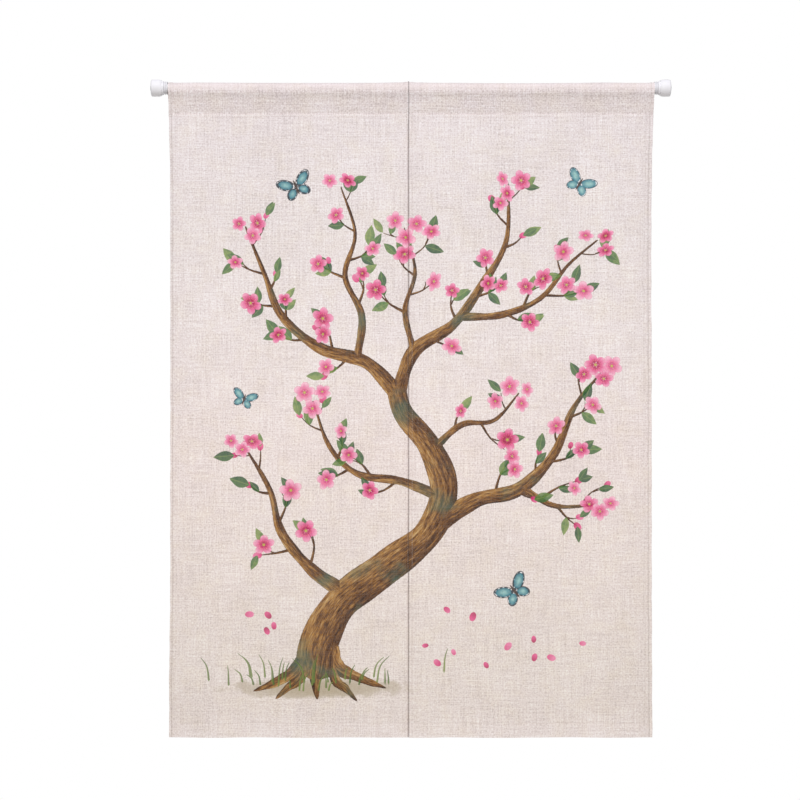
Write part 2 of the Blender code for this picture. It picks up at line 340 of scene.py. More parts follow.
def colour(red, green, blue):
    """A colour picked on screen, 0 to 255, as the shader's linear values."""
    picked = [c / 255 for c in (red, green, blue)]
    return [c / 12.92 if c <= 0.04045 else ((c + 0.055) / 1.055) ** 2.4 for c in picked] + [1.0]


CLOTH_DEEP = colour(207, 196, 195)
CLOTH_MIDDLE = colour(238, 227, 227)
CLOTH_PALE = colour(255, 251, 252)
CLOTH_WARMTH = (1.0, 0.992, 0.930, 1.0)
# Painted light and shade: how the cloth is made lighter and darker from the pocket's stitches down to
# the bottom hem
PAINTED_LIGHT_DOWN_CLOTH = (
    (0.0, (0.971, 0.960, 0.970, 1.0)),
    (0.004, (0.945, 0.951, 0.958, 1.0)),
    (0.04, (0.944, 0.950, 0.957, 1.0)),
    (0.17, (0.960, 0.969, 0.967, 1.0)),
    (0.34, (0.985, 0.988, 0.985, 1.0)),
    (0.52, (1.000, 0.981, 0.963, 1.0)),
    (0.85, (0.950, 0.944, 0.900, 1.0)),
    (0.92, (0.940, 0.931, 0.893, 1.0)),
    (0.955, (0.998, 0.998, 0.976, 1.0)),
)
UMBER, BROWN = colour(58, 38, 27), colour(104, 69, 42)
OCHRE, STRAW = colour(172, 126, 70), colour(212, 182, 130)
MOSS, WASH = colour(74, 112, 96), colour(160, 144, 104)
GRASS_DEEP, GRASS_PALE = colour(66, 98, 52), colour(142, 158, 86)
LEAF_DEEP, LEAF_MIDDLE, LEAF_PALE = colour(42, 84, 56), colour(82, 122, 66), colour(156, 172, 100)
PETAL_HEART, PETAL_DEEP, PETAL_MIDDLE = colour(196, 190, 92), colour(176, 28, 88), colour(226, 84, 142)
PETAL_SOFT, PETAL_EDGE = colour(240, 142, 182), colour(249, 198, 216)
STAMEN, ANTHER = colour(150, 26, 74), colour(250, 212, 104)
WING_DEEP, WING_MIDDLE, WING_PALE = colour(26, 52, 64), colour(52, 128, 146), colour(150, 198, 196)
BEIGE_THREAD = (colour(206, 192, 184), colour(228, 217, 210))
WHITE_THREAD = (colour(246, 241, 238), colour(255, 254, 253))
ENAMEL = (colour(238, 238, 239), colour(248, 248, 249))
PLASTIC = (colour(232, 231, 236), colour(241, 240, 245))
FLOOR = (colour(240, 239, 237), colour(246, 245, 243))

PETAL_TONE = 0.97  # a stamp of the leaf kind with a higher tone is a petal or a bud
FIFTH = math.tau / 5
GROOVE_RADIUS = 0.0108  # painted shade darkens what lies nearer to a fitting's axis, as shade in its grooves
GROOVE_PAINTED_SHADE = 0.22


def smoothstep(low, high, value):
    part = np.clip((value - low) / (high - low), 0.0, 1.0)
    return part * part * (3.0 - 2.0 * part)


def softened(value, places, levels, reach):
    """A table's level at this value, averaged over a reach so that its corners are soft."""
    shifts = (-reach, -reach / 2, reach / 2, reach)
    return sum(np.interp(value + shift, places, levels) for shift in shifts) / len(shifts)


def run_along(points):
    """The length of a line of points up to each of them."""
    steps = np.linalg.norm(np.diff(points, axis=0), axis=1)
    return np.concatenate([[0.0], np.cumsum(steps)])


def numbers(items, name, width, kind=float):
    found = np.empty(len(items) * width, kind)
    items.foreach_get(name, found)
    return found.reshape(-1, width)


def keep_layer(mesh, name, kind, domain, values):
    """A layer of the mesh that keeps these values for its finish."""
    layer = mesh.attributes.new(name, kind, domain)
    field = "vector" if kind == "FLOAT_VECTOR" else "value"
    layer.data.foreach_set(field, values.astype(np.float32).ravel())


def new_piece(name, add, **shape):
    """A piece that starts as one of Blender's own simple shapes."""
    bpy.ops.object.select_all(action="DESELECT")
    add(**shape)
    piece = bpy.context.object
    bpy.ops.object.transform_apply(location=True, rotation=True, scale=True)
    piece.name = piece.data.name = name
    return piece


def math_method(operation, reflected=False):
    """A method of a Value that works by a Math node."""

    def method(value, *others):
        inputs = (*others, value) if reflected else (value, *others)
        return value.finish.node("ShaderNodeMath", {"operation": operation}, dict(enumerate(inputs)))

    return method


class Value:
    """A number that varies over a finish: a node's socket that takes part in arithmetic."""

    def __init__(self, finish, socket):
        self.finish = finish
        self.socket = socket

    __add__ = __radd__ = math_method("ADD")
    __sub__ = math_method("SUBTRACT")
    __rsub__ = math_method("SUBTRACT", reflected=True)
    __mul__ = __rmul__ = math_method("MULTIPLY")
    __truediv__ = math_method("DIVIDE")
    __pow__ = math_method("POWER")
    __abs__ = math_method("ABSOLUTE")
    least = math_method("MINIMUM")
    most = math_method("MAXIMUM")
    above = math_method("GREATER_THAN")
    cosine = math_method("COSINE")
    sine = math_method("SINE")
    rounded = math_method("ROUND")
    angle_over = math_method("ARCTAN2")

    def over(self, limit, softness):
        """1 where this is over the limit, 0 under it, with a soft step between."""
        settings = {"interpolation_type": "SMOOTHSTEP", "clamp": True}
        steps = {"Value": self, "From Min": limit - softness, "From Max": limit + softness}
        return self.finish.node("ShaderNodeMapRange", settings, steps, "Result")

    def under(self, limit, softness):
        return 1.0 - self.over(limit, softness)


def length_of(x, y):
    return (x * x + y * y) ** 0.5


class Finish:
    """A material and the nodes of its Principled shader."""

    def __init__(self, name, roughness, sheen=0.0, specular=0.5, coat=0.0):
        self.material = bpy.data.materials.new(name)
        self.material.use_nodes = True
        self.tree = self.material.node_tree
        self.shader = self.tree.nodes["Principled BSDF"]
        self.set("Roughness", roughness)
        self.set("Sheen Weight", sheen)
        self.set("Specular IOR Level", specular)
        self.set("Coat Weight", coat)

    def put(self, socket, value):
        if isinstance(value, Value):
            self.tree.links.new(value.socket, socket)
        else:
            socket.default_value = value

    def set(self, name, value):
        self.put(self.shader.inputs[name], value)

    def node(self, kind, settings=None, inputs=None, output=0):
        """A new node of this kind, with its settings and the values or links of its sockets."""
        made = self.tree.nodes.new(kind)
        for name, value in (settings or {}).items():
            if name == "stops":
                self.set_stops(made.color_ramp, value)
            else:
                setattr(made, name, value)
        for name, value in (inputs or {}).items():
            self.put(made.inputs[name], value)
        return Value(self, made.outputs[output])

    def set_stops(self, ramp, stops):
        while len(ramp.elements) < len(stops):
            ramp.elements.new(1.0)
        for element, (place, tint) in zip(ramp.elements, stops):
            element.position = place
            element.color = tint

    def ramp(self, value, *stops):
        return self.node("ShaderNodeValToRGB", {"stops": stops}, {"Fac": value})

    def between(self, value, tints, low=0.3, high=0.7):
        """The first tint up to the low value, the second from the high one on."""
        return self.ramp(value, (low, tints[0]), (high, tints[1]))

    def blend(self, share, under, over, kind="MIX"):
        """The colour over, laid on the colour under by this share, or multiplied with it."""
        settings = {"data_type": "RGBA", "blend_type": kind, "clamp_factor": True}
        return self.node("ShaderNodeMix", settings, {0: share, 6: under, 7: over}, 2)

    def cast(self, share, tint, cast):
        """The tint with this share of a colour cast over it."""
        return self.blend(share, tint, cast, "MULTIPLY")

    def shade(self, tint, amount):
        """A colour times a grey value."""
        grey = self.node("ShaderNodeCombineColor", {}, {0: amount, 1: amount, 2: amount})
        return self.cast(1.0, tint, grey)

    def either(self, share, under, over):
        """One of two places: over where the share is 1."""
        return self.node("ShaderNodeMix", {"data_type": "VECTOR"}, {0: share, 4: under, 5: over}, 1)

    def parts(self, vector):
        """A vector's three numbers."""
        split = self.node("ShaderNodeSeparateXYZ", {}, {0: vector}).socket.node
        return [Value(self, split.outputs[i]) for i in range(3)]

    def noise(self, vector, scale, detail=2.0, roughness=0.5):
        inputs = {"Vector": vector, "Scale": scale, "Detail": detail, "Roughness": roughness}
        return self.node("ShaderNodeTexNoise", {}, inputs)

    def grain(self, x, y, z=0.0, detail=2.0, roughness=0.5):
        """Noise over up to three numbers, each with a scale of its own."""
        place = self.node("ShaderNodeCombineXYZ", {}, {0: x, 1: y, 2: z})
        return self.noise(place, 1.0, detail, roughness)

    def kept(self, name, output="Vector"):
        """What a layer of the mesh keeps at each place."""
        return self.node("ShaderNodeAttribute", {"attribute_name": name}, {}, output)

    def places(self):
        """Places in the part's own frame, in metres."""
        return self.node("ShaderNodeTexCoord", {}, {}, "Object")

    def dent(self, height, depth):
        """Gives the surface this relief."""
        self.set("Normal", self.node("ShaderNodeBump", {}, {"Height": height, "Distance": depth}))


def fold_depth(x, z):
    """How far the cloth stands forward of its plane in its long upright folds."""
    drop = smoothstep(STITCH_Z, CLOTH_BOTTOM_Z, z)
    total = sum((f.top + (f.bottom - f.top) * drop) * bell(x - f.x, f.width) for f in FOLDS)
    return total * smoothstep(STITCH_Z, STITCH_Z - FOLD_START, z)


def lap_depth(x, z, side):
    near = smoothstep(LAP_FAR, LAP_NEAR, np.abs(x - SPLIT_X))
    return side * LAP_DEPTH * near * smoothstep(LAP_DEPTH_FROM, LAP_DEPTH_TO, STITCH_Z - z)


def crease_depth(x, z):
    """The listed creases."""
    total = np.zeros_like(x)
    for crease in CREASES:
        lean = math.radians(crease.lean)
        along = (x - crease.x) * math.cos(lean) + (z - crease.z) * math.sin(lean)
        across = (z - crease.z) * math.cos(lean) - (x - crease.x) * math.sin(lean)
        total += crease.depth * bell(along, crease.run) * bell(across, crease.breadth)
    return total


def ripple(along, aside, quick, slow, second):
    """An uneven wave along a seam."""
    return np.sin(along * quick + np.sin(along * slow) * 3) + 0.6 * np.sin(along * second + aside * 40)


def seam_relief(x, z, from_side, inset):
    """The dent of each row of stitches, the puffed hem beside it and its small puckers."""
    from_bottom = z - CLOTH_BOTTOM_Z
    from_pocket = z - STITCH_Z
    relief = ridges(from_side - inset, SIDE_SEAM_RELIEF) + ridges(from_side, SIDE_EDGE_RELIEF)
    relief += ridges(from_bottom, BOTTOM_RELIEF) + ridges(from_pocket, POCKET_RELIEF)
    beside, breadth = PUCKER_BREADTHS
    relief += SIDE_PUCKER * ripple(z, x, 410, 57, 233) * bell(from_side, beside)
    puckers = BOTTOM_PUCKER * bell(from_bottom - BOTTOM_SEAM, breadth)
    puckers += POCKET_PUCKER * bell(from_pocket, breadth)
    return relief + puckers * ripple(x, z, 390, 61, 217)


def slow_unevenness(x, z):
    waves = sum(w.height * np.sin(x * w.across + z * w.up + w.start) for w in SLOW_WAVES)
    return waves * smoothstep(STITCH_Z, STITCH_Z - WAVE_START, z)


def steps_through(low, *spans):
    """Even steps from low through each span, given by its end and its step, without the last end."""
    places = []
    for high, step in spans:
        count = max(1, round(abs(high - low) / step))
        places += [low + (high - low) * i / count for i in range(count)]
        low = high
    return places


def cloth_rows():
    """Rows of the sheet: up the front from the bottom edge, over the rod and down the back.

    Each row has its height, its place in depth and the part of the sheet that it belongs to.
    """
    pocket = steps_through(STITCH_Z, (0.0, POCKET_STEP))
    rows = [(z, 0.0, "body") for z in steps_through(CLOTH_BOTTOM_Z, *ROW_SPANS)]
    rows += [(z, 0.0, "pocket") for z in pocket]
    for i in range(WRAP_TURNS + 1):
        turn = math.pi * i / WRAP_TURNS
        rows.append((WRAP_RADIUS * math.sin(turn), -WRAP_RADIUS * math.cos(turn), "wrap"))
    rows += [(z, 0.0, "back") for z in reversed(pocket)]
    return rows + [(STITCH_Z - ALLOWANCE * share, 0.0, "back") for share in ALLOWANCE_STEPS]


def cloth_columns(width):
    """Places across a panel, close together at the hems."""
    hem = steps_through(0.0, *HEM_SPANS)
    edge = HEM_SPANS[-1][0]
    body = steps_through(edge, (width - edge, BODY_STEP_X))
    return hem + body + [width - edge] + [width - place for place in reversed(hem)]


def inner_edge_x(z, side):
    """The panel's inner edge: the left one's reaches on behind the right one."""
    lap = LEFT_LAP if side == LEFT else 0.0
    return SPLIT_X + side * SPLIT_GAP / 2 + lap * smoothstep(LAP_FROM, LAP_TO, STITCH_Z - z)


def outer_edge_x(z, side):
    """The panel's outer edge, slightly ragged."""
    edge = softened(z, *OUTER_EDGES[side], EDGE_REACH)
    return edge + 0.00025 * np.sin(z * 71 + side) + 0.00015 * np.sin(z * 173)


Seam = namedtuple("Seam", "spots thickness")


class Sheet:
    """One panel's outer surface as a grid of points, from which its mesh and seams are made."""

    def __init__(self, side):
        self.inset = SEAM_INSETS[side]
        row_z, row_y, part = (np.array(field)[:, None] for field in zip(*cloth_rows()))
        low, high = outer_edge_x(row_z, side), inner_edge_x(row_z, side)
        if side == RIGHT:
            low, high = high, low
        columns = np.array(cloth_columns(float(high.mean() - low.mean())))
        x = low + (high - low) * columns / columns[-1]
        z = row_z + 0.0 * x

        side_hem = (columns < SIDE_HEM) | (columns > columns[-1] - SIDE_HEM)
        turned_up = z < CLOTH_BOTTOM_Z + BOTTOM_HEM
        turned_in = (part == "back") & (z <= STITCH_Z)
        self.hem = side_hem | turned_up | turned_in
        self.wall = np.where(self.hem, HEMMED, SINGLE)

        from_side = np.minimum(x - low, high - x)
        from_split = high - x if side == LEFT else x - low
        in_pocket = smoothstep(STITCH_Z - 0.002, STITCH_Z + 0.003, z)
        below = smoothstep(-0.002, 0.006, STITCH_Z - z)
        # Painted shade along the split's edges
        split_painted_shade = SPLIT_LINE.at(from_split)
        if side == LEFT:
            front_edge = inner_edge_x(z, RIGHT)
            tucked = smoothstep(front_edge - TUCK_BREADTH, front_edge + SPLIT_GAP, x)
            split_painted_shade = split_painted_shade * (1.0 - below) + below * tucked
            tucked = tucked * TUCK_DEPTH
        else:
            tucked = SPLIT_ROUND.at(from_split)

        hanging = tucked * below - FRONT_OFFSET - fold_depth(x, z) - lap_depth(x, z, side)
        hanging -= crease_depth(x, z) + slow_unevenness(x, z)
        hanging += EDGE_ROUND.at(from_side) - seam_relief(x, z, from_side, self.inset)
        swollen = np.where(side_hem, HEMMED - SINGLE, 0.0) + 0.0 * x
        half = softened(z, POCKET_Z, POCKET_HALF, POCKET_REACH) + FRONT_OFFSET
        half += swollen * smoothstep(STITCH_Z, STITCH_Z + 0.006, z) - POCKET_ROUND.at(from_split)
        behind = hanging + np.where(side_hem, HEMMED, SINGLE) + LAYER_GAP + self.wall
        y = np.where(part == "pocket", np.minimum(hanging, -half), hanging)
        y = np.where(part == "wrap", row_y * (1.0 + swollen / WRAP_RADIUS), y)
        y = np.where(part == "back", np.maximum(half, behind), y)
        lift = 1.0 + (swollen + ridges(x, TOP_RISES)) / WRAP_RADIUS
        z = np.where(part == "wrap", z * lift, z)

        # Painted shade along the seams and the split's edges, and painted light along the right panel's
        # outer edge
        self.pressed = ridges(from_side - self.inset, SEAM_PAINTED_SHADING)
        self.pressed *= np.where(from_split > from_side, 1.0, INNER_SEAM_SHADE)
        self.pressed *= 1.0 - (1.0 - POCKET_SEAM_SHADE) * in_pocket
        if side == RIGHT:
            self.pressed += RIGHT_HEM_PAINTED_LIGHT.at(high - x)
        split_shade = SPLIT_SHADE + (POCKET_SPLIT_SHADE - SPLIT_SHADE) * in_pocket
        self.pressed = np.maximum(self.pressed, split_shade * split_painted_shade)

        self.points = np.stack([x, y, z], axis=2)
        self.part = part[:, 0]
        across, along = np.gradient(self.points, axis=1), np.gradient(self.points, axis=0)
        outward = np.cross(across, along)
        self.normal = outward / np.linalg.norm(outward, axis=2, keepdims=True)
        self.run = run_along(self.points[:, len(columns) // 2])

    def make(self, name):
        """The panel as a thin closed sheet, with thick hems and its own flat map."""
        rows, columns = self.points.shape[:2]
        subdivisions = {"x_subdivisions": columns - 1, "y_subdivisions": rows - 1}
        panel = new_piece(name, bpy.ops.mesh.primitive_grid_add, size=1.0, **subdivisions)
        mesh = panel.data
        places = numbers(mesh.vertices, "co", 3)
        row = np.rint((places[:, 1] + 0.5) * (rows - 1)).astype(int)
        column = np.rint((places[:, 0] + 0.5) * (columns - 1)).astype(int)
        mesh.vertices.foreach_set("co", self.points[row, column].ravel())
        corner = numbers(mesh.loops, "vertex_index", 1, int)[:, 0]
        flat = np.stack([self.points[row, column, 0], self.run[row]], axis=1)[corner]
        mesh.uv_layers[0].name = "cloth"
        mesh.uv_layers[0].data.foreach_set("uv", flat.ravel())
        keep_layer(mesh, "pressed", "FLOAT", "POINT", self.pressed[row, column])
        hem = panel.vertex_groups.new(name="hem")
        hem.add(np.flatnonzero(self.hem[row, column]).tolist(), 1.0, "REPLACE")
        mesh.update()
        wall = panel.modifiers.new("cloth thickness", "SOLIDIFY")
        wall.thickness = HEMMED
        wall.offset = -1.0
        wall.vertex_group = hem.name
        wall.thickness_vertex_group = SINGLE / HEMMED
        bpy.ops.object.modifier_apply(modifier=wall.name)
        bpy.ops.object.shade_smooth_by_angle(angle=math.radians(50))
        return panel

    def spot(self, run, x, behind):
        """The surface's place and outward direction at this run up the sheet and this x."""
        row = np.interp(run, self.run, np.arange(len(self.run)))
        upper = min(int(row), len(self.run) - 2)
        column = np.interp(x, self.points[upper, :, 0], np.arange(self.points.shape[1]))
        near = min(int(column), self.points.shape[1] - 2)
        share, slide = row - upper, column - near

        def read(field):
            first = field[upper, near] * (1 - slide) + field[upper, near + 1] * slide
            second = field[upper + 1, near] * (1 - slide) + field[upper + 1, near + 1] * slide
            return first * (1 - share) + second * share

        place, outward = read(self.points), read(self.normal)
        if behind:
            return place - outward * self.wall[upper, near], -outward
        return place, outward

    def run_at(self, z, part):
        """The run up the sheet at this height of this part."""
        rows = np.flatnonzero(self.part == part)
        nearest = rows[np.argmin(np.abs(self.points[rows, 0, 2] - z))]
        return self.run[nearest]

    def seams(self):
        """Every row of stitches, each with its (place, outward direction) spots."""
        lines = []
        rows = (
            (self.run_at(STITCH_Z, "pocket"), False, POCKET_THREAD_D),
            (self.run_at(STITCH_Z, "back"), False, POCKET_THREAD_D),
            (BOTTOM_SEAM, False, THREAD_D),
            (BOTTOM_SEAM, True, THREAD_D),
        )
        for run, behind, thickness in rows:
            low, *_, high = self.points[int(np.searchsorted(self.run, run)), :, 0]
            across = np.arange(low + SEAM_MARGIN, high - SEAM_MARGIN, STITCH_PITCH)
            lines.append(Seam([self.spot(run, x, behind) for x in across], thickness))
        body_top = self.run_at(STITCH_Z - ALLOWANCE, "body")
        for end, behind in ((self.run[-1] - SEAM_MARGIN, False), (body_top, True)):
            climb = np.arange(SEAM_MARGIN, end, STITCH_PITCH)
            for column, inset in ((0, self.inset), (-1, -self.inset)):
                edge = np.interp(climb, self.run, self.points[:, column, 0]) + inset
                spots = [self.spot(run, x, behind) for run, x in zip(climb, edge)]
                lines.append(Seam(spots, THREAD_D))
        return lines


def make_stitches(name, lines):
    """A thread stitch, modelled once and copied along every seam."""
    stitch = new_piece(name, bpy.ops.mesh.primitive_uv_sphere_add, segments=6, ring_count=4, radius=0.5)
    mesh = stitch.data
    shape = numbers(mesh.vertices, "co", 3)
    faces = [list(face.vertices) for face in mesh.polygons]
    places, links = [], []
    for line in lines:
        sized = shape * (STITCH_LENGTH, line.thickness, line.thickness * THREAD_FLATNESS)
        for (start, outward), (end, _) in zip(line.spots, line.spots[1:]):
            along = (end - start) / np.linalg.norm(end - start)
            aside = np.cross(outward, along)
            turned = sized @ np.array([along, aside, outward])
            first = len(places) * len(shape)
            places.append(turned + (start + end) / 2 + outward * line.thickness * THREAD_LIFT)
            links += [[first + corner for corner in face] for face in faces]
    mesh.clear_geometry()
    mesh.from_pydata(np.concatenate(places).tolist(), [], links)
    mesh.shade_smooth()
    return stitch


Stroke = namedtuple("Stroke", "line halves")
Stamp = namedtuple("Stamp", "x z turn length width tone")


def smooth_line(points, step=0.004):
    """A smooth curve through a few points, with its own steps about a given length."""
    ends = [np.array(p) for p in points]
    ends = [ends[0] * 2 - ends[1]] + ends + [ends[-1] * 2 - ends[-2]]
    line = []
    for before, start, end, after in zip(ends, ends[1:], ends[2:], ends[3:]):
        count = max(2, int(np.linalg.norm(end - start) / step))
        for i in range(count):
            t = i / count
            pull = (2 * before - 5 * start + 4 * end - after) * t * t
            swing = (3 * start - before - 3 * end + after) * t * t * t
            line.append(0.5 * (2 * start + (end - before) * t + pull + swing))
    return np.array(line + [ends[-2]])


def make_stroke(points, start, end, power=1.0, waver=0.0, seed=0.0, swell=0.0):
    """A brush stroke that thins from start to end, with a wavering half width.

    swell is the share of its length over which it comes out of the wood that it grows from.
    """
    line = smooth_line(points)
    share = np.linspace(0.0, 1.0, len(line))
    halves = end + (start - end) * (1.0 - share) ** power
    if swell:
        halves *= 0.15 + 0.85 * smoothstep(0.0, swell, share)
    halves *= 1.0 + waver * (np.sin(share * 19 + seed) + 0.6 * np.sin(share * 43 + seed * 2))
    return Stroke(line, halves)


def make_boughs(boughs, power, waver, seed=0.0, seed_step=0.0, swell=0.0):
    """Strokes of printed wood, with seeds that are a step apart."""
    strokes = []
    for i, bough in enumerate(boughs):
        points, start, end = np.array(bough.points) / 1000, bough.start / 1000, bough.end / 1000
        stroke = make_stroke(points, start, end, power, waver, seed + i * seed_step, swell)
        strokes.append(stroke)
    return strokes


def turned_by(direction, angle):
    c, s = math.cos(angle), math.sin(angle)
    return np.array([direction[0] * c - direction[1] * s, direction[0] * s + direction[1] * c])


class Picture:
    """A generic blossoming tree: its wood, twigs, leaves, blossoms, grass and butterflies."""

    def __init__(self, seed):
        self.rng = random.Random(seed)
        boughs = make_boughs(BOUGHS, power=0.9, waver=0.07, seed_step=1.7)
        self.wood = make_boughs([TRUNK], power=0.8, waver=0.05, seed=1.0)
        self.wood += make_boughs(ROOTS, power=0.7, waver=0.08, seed_step=2.1, swell=ROOT_SWELL)
        self.wood += boughs
        self.leaves, self.blossoms, self.grass = [], [], []
        self.butterflies = [
            Stamp(f.x, f.z, math.radians(f.turn), f.span, f.span, f.tone) for f in BUTTERFLIES
        ]
        for bough in boughs:
            self.cluster(bough.line[-1], 3)
        for bough in boughs:
            self.grow_twigs(bough)
        self.grow_grass()
        self.drop_petals()

    def between(self, low, high):
        return self.rng.uniform(low, high)

    def grow_twigs(self, bough):
        run = run_along(bough.line)
        place = run[-1] * self.between(0.22, 0.30)
        hand = self.rng.choice((-1, 1))
        while place < run[-1] - 0.010:
            i = int(np.searchsorted(run, place))
            along = bough.line[i] - bough.line[i - 1]
            along = along / np.linalg.norm(along)
            direction = turned_by(along, hand * math.radians(self.between(38, 66)))
            length = self.between(*TWIG_LENGTHS) * (1.0 - 0.35 * place / run[-1])
            bend = hand * -self.between(0.10, 0.45)
            middle = bough.line[i] + direction * length * 0.5
            tip = middle + turned_by(direction, bend) * length * 0.5
            start = min(0.0030, bough.halves[i] * 0.6)
            self.wood.append(make_stroke((bough.line[i], middle, tip), start, 0.0006))
            self.dress_twig(middle, tip, direction)
            if length > SIDE_TWIG_FROM:
                aside = turned_by(direction, -hand * math.radians(self.between(35, 60)))
                end = middle + aside * length * self.between(0.35, 0.5)
                bent = (middle + end) / 2 + turned_by(aside, hand * 1.5) * 0.003
                self.wood.append(make_stroke((middle, bent, end), 0.0016, 0.0005))
                self.dress_twig(bent, end, aside)
            place += TWIG_SPACING * self.between(0.65, 1.35)
            hand = -hand

    def dress_twig(self, middle, tip, direction):
        """Blossoms, buds and leaves at a twig's tip and half way along it."""
        chance = self.rng.random()
        if chance < 0.62:
            self.blossom(tip)
        else:
            self.bud(tip, direction)
        if chance < 0.22:
            self.blossom(middle + turned_by(direction, 1.2) * 0.012)
        for where in (tip, middle):
            for _ in range(self.rng.choice((0, 1, 1, 2))):
                self.leaf(where, turned_by(direction, self.between(-1.1, 1.1)))

    def cluster(self, where, count):
        for i in range(count):
            aside = turned_by((1.0, 0.0), i * 2.3 + self.between(0.0, 0.8))
            self.blossom(where + aside * self.between(0.010, 0.024))

    def blossom(self, where):
        """A blossom, unless it would crowd another."""
        radius = self.between(*BLOSSOM_RADII)
        for other in self.blossoms:
            apart = math.hypot(where[0] - other.x, where[1] - other.z)
            if apart < CROWDED * (radius + other.length):
                return
        tilt = self.between(0.72, 1.0)
        turn = self.between(0, math.tau)
        self.blossoms.append(Stamp(*where, turn, radius, radius * tilt, self.rng.random()))

    def bud(self, where, direction):
        turn = math.atan2(direction[1], direction[0])
        length = self.between(0.0060, 0.0085)
        self.leaves.append(Stamp(*where, turn, length, length * 0.72, 1.0 + self.rng.random()))

    def leaf(self, where, direction):
        length = self.between(0.0115, 0.0190)
        turn = math.atan2(direction[1], direction[0])
        x, z = where + np.array(direction) * length
        width = length * self.between(0.40, 0.52)
        self.leaves.append(Stamp(x, z, turn, length, width, self.rng.random() * 0.95))

    def grow_grass(self):
        """Blades of grass round the foot of the trunk."""
        foot_x, foot_z = TRUNK_FOOT
        for _ in range(BLADES):
            x = foot_x + self.rng.gauss(0.0, 0.085)
            root = np.array([x, foot_z + self.between(-0.012, 0.008) + abs(x - foot_x) * 0.08])
            height = self.between(0.018, 0.058)
            lean = self.between(-0.5, 0.5) + (x - foot_x) * 2.6
            tip = root + np.array([lean * height, height])
            middle = root + np.array([lean * height * 0.25, height * 0.6])
            self.grass.append(make_stroke((root, middle, tip), 0.0019, 0.0003, power=0.7))

    def drop_petals(self):
        """Fallen petals: a few beside the trunk, the others under the long boughs."""
        for i in range(FALLEN_PETALS):
            x = self.between(0.170, 0.238) if i < 4 else self.between(0.455, 0.800)
            z = self.between(-1.060, -0.930)
            length = self.between(0.0055, 0.0085)
            turn = self.between(0, math.tau)
            self.leaves.append(Stamp(x, z, turn, length, length * 0.7, 1.0 + self.rng.random()))


class PrintLayers:
    """The picture on one panel: each face corner keeps where it lies in its motif.

    A layer holds motifs that don't meet, so a motif takes the first layer with room for it.
    """

    def __init__(self, panel):
        self.mesh = panel.data
        corner = numbers(self.mesh.loops, "vertex_index", 1, int)[:, 0]
        self.corner = numbers(self.mesh.vertices, "co", 3)[corner][:, [0, 2]].reshape(-1, 4, 2)
        self.centre = self.corner.mean(axis=1)
        names = [f"{kind}_{i}" for kind, count in LAYERS.items() for i in range(count)]
        nowhere = np.zeros((len(self.centre), 4, 3)) + (0.0, FAR_AWAY, 0.0)
        self.kept = {name: nowhere.copy() for name in names}
        self.taken = {name: np.zeros(len(self.centre), bool) for name in names}

    def layer_for(self, kind, faces):
        """The first layer of this kind that is free on these faces, and the faces to use.

        Where none is free, wood takes what is left of the last one and another motif is left out.
        """
        for i in range(LAYERS[kind]):
            name = f"{kind}_{i}"
            if not self.taken[name][faces].any():
                break
        free = faces[~self.taken[name][faces]]
        if len(free) < len(faces) and kind != "wood":
            free = free[:0]
        self.taken[name][free] = True
        return self.kept[name], free

    def stroke(self, kind, stroke, offset):
        """Keeps the place along the stroke, the step to its side and its half width, in mm."""
        reach = stroke.halves.max() + CELL
        low, high = stroke.line.min(axis=0) - reach, stroke.line.max(axis=0) + reach
        faces = np.flatnonzero(((self.centre > low) & (self.centre < high)).all(axis=1))
        if not len(faces):
            return
        apart = np.linalg.norm(self.centre[faces][:, None] - stroke.line[None], axis=2)
        nearest = apart.argmin(axis=1)
        faces = faces[apart.min(axis=1) < stroke.halves[nearest] + CELL]
        kept, faces = self.layer_for(kind, faces)
        if not len(faces):
            return
        corners = self.corner[faces].reshape(-1, 2)
        nearest = np.linalg.norm(corners[:, None] - stroke.line[None], axis=2).argmin(axis=1)
        tangent = np.gradient(stroke.line, axis=0)
        tangent /= np.linalg.norm(tangent, axis=1, keepdims=True)
        run = run_along(stroke.line)
        away, ahead = corners - stroke.line[nearest], tangent[nearest]
        along = run[nearest] + (away * ahead).sum(axis=1)
        aside = away[:, 1] * ahead[:, 0] - away[:, 0] * ahead[:, 1]
        past = np.maximum(along - run[-1], 0.0) + np.maximum(-along, 0.0)
        half = np.interp(along, run, stroke.halves) - past * 2.4
        kept[faces] = np.stack([along + offset, aside, half], axis=1).reshape(-1, 4, 3) * 1000

    def stamp(self, kind, stamp, reach=1.0):
        """Keeps the place within the motif, in its own length and width, and its tone."""
        middle = np.array([stamp.x, stamp.z])
        apart = np.linalg.norm(self.centre - middle, axis=1)
        faces = np.flatnonzero(apart < max(stamp.length, stamp.width) * reach + CELL)
        kept, faces = self.layer_for(kind, faces)
        away = self.corner[faces] - middle
        c, s = math.cos(stamp.turn), math.sin(stamp.turn)
        kept[faces, :, 0] = (away[:, :, 0] * c + away[:, :, 1] * s) / stamp.length
        kept[faces, :, 1] = (away[:, :, 1] * c - away[:, :, 0] * s) / stamp.width
        kept[faces, :, 2] = stamp.tone

    def save(self):
        for name, values in self.kept.items():
            keep_layer(self.mesh, name, "FLOAT_VECTOR", "CORNER", values)
        in_front = numbers(self.mesh.polygons, "normal", 3)[:, 1] < 0.0
        shown = np.repeat(np.where(in_front, 1.0, GHOST), 4)
        keep_layer(self.mesh, "ink_strength", "FLOAT", "CORNER", shown)


def print_picture(panel, picture):
    layers = PrintLayers(panel)
    for kind, strokes, offset in (("wood", picture.wood, 0.37), ("grass", picture.grass, 0.11)):
        for i, stroke in enumerate(strokes):
            layers.stroke(kind, stroke, i * offset)
    for kind, stamps in (("leaf", picture.leaves), ("blossom", picture.blossoms)):
        for stamp in stamps:
            layers.stamp(kind, stamp)
    for stamp in picture.butterflies:
        layers.stamp("butterfly", stamp, reach=1.1)
    layers.save()


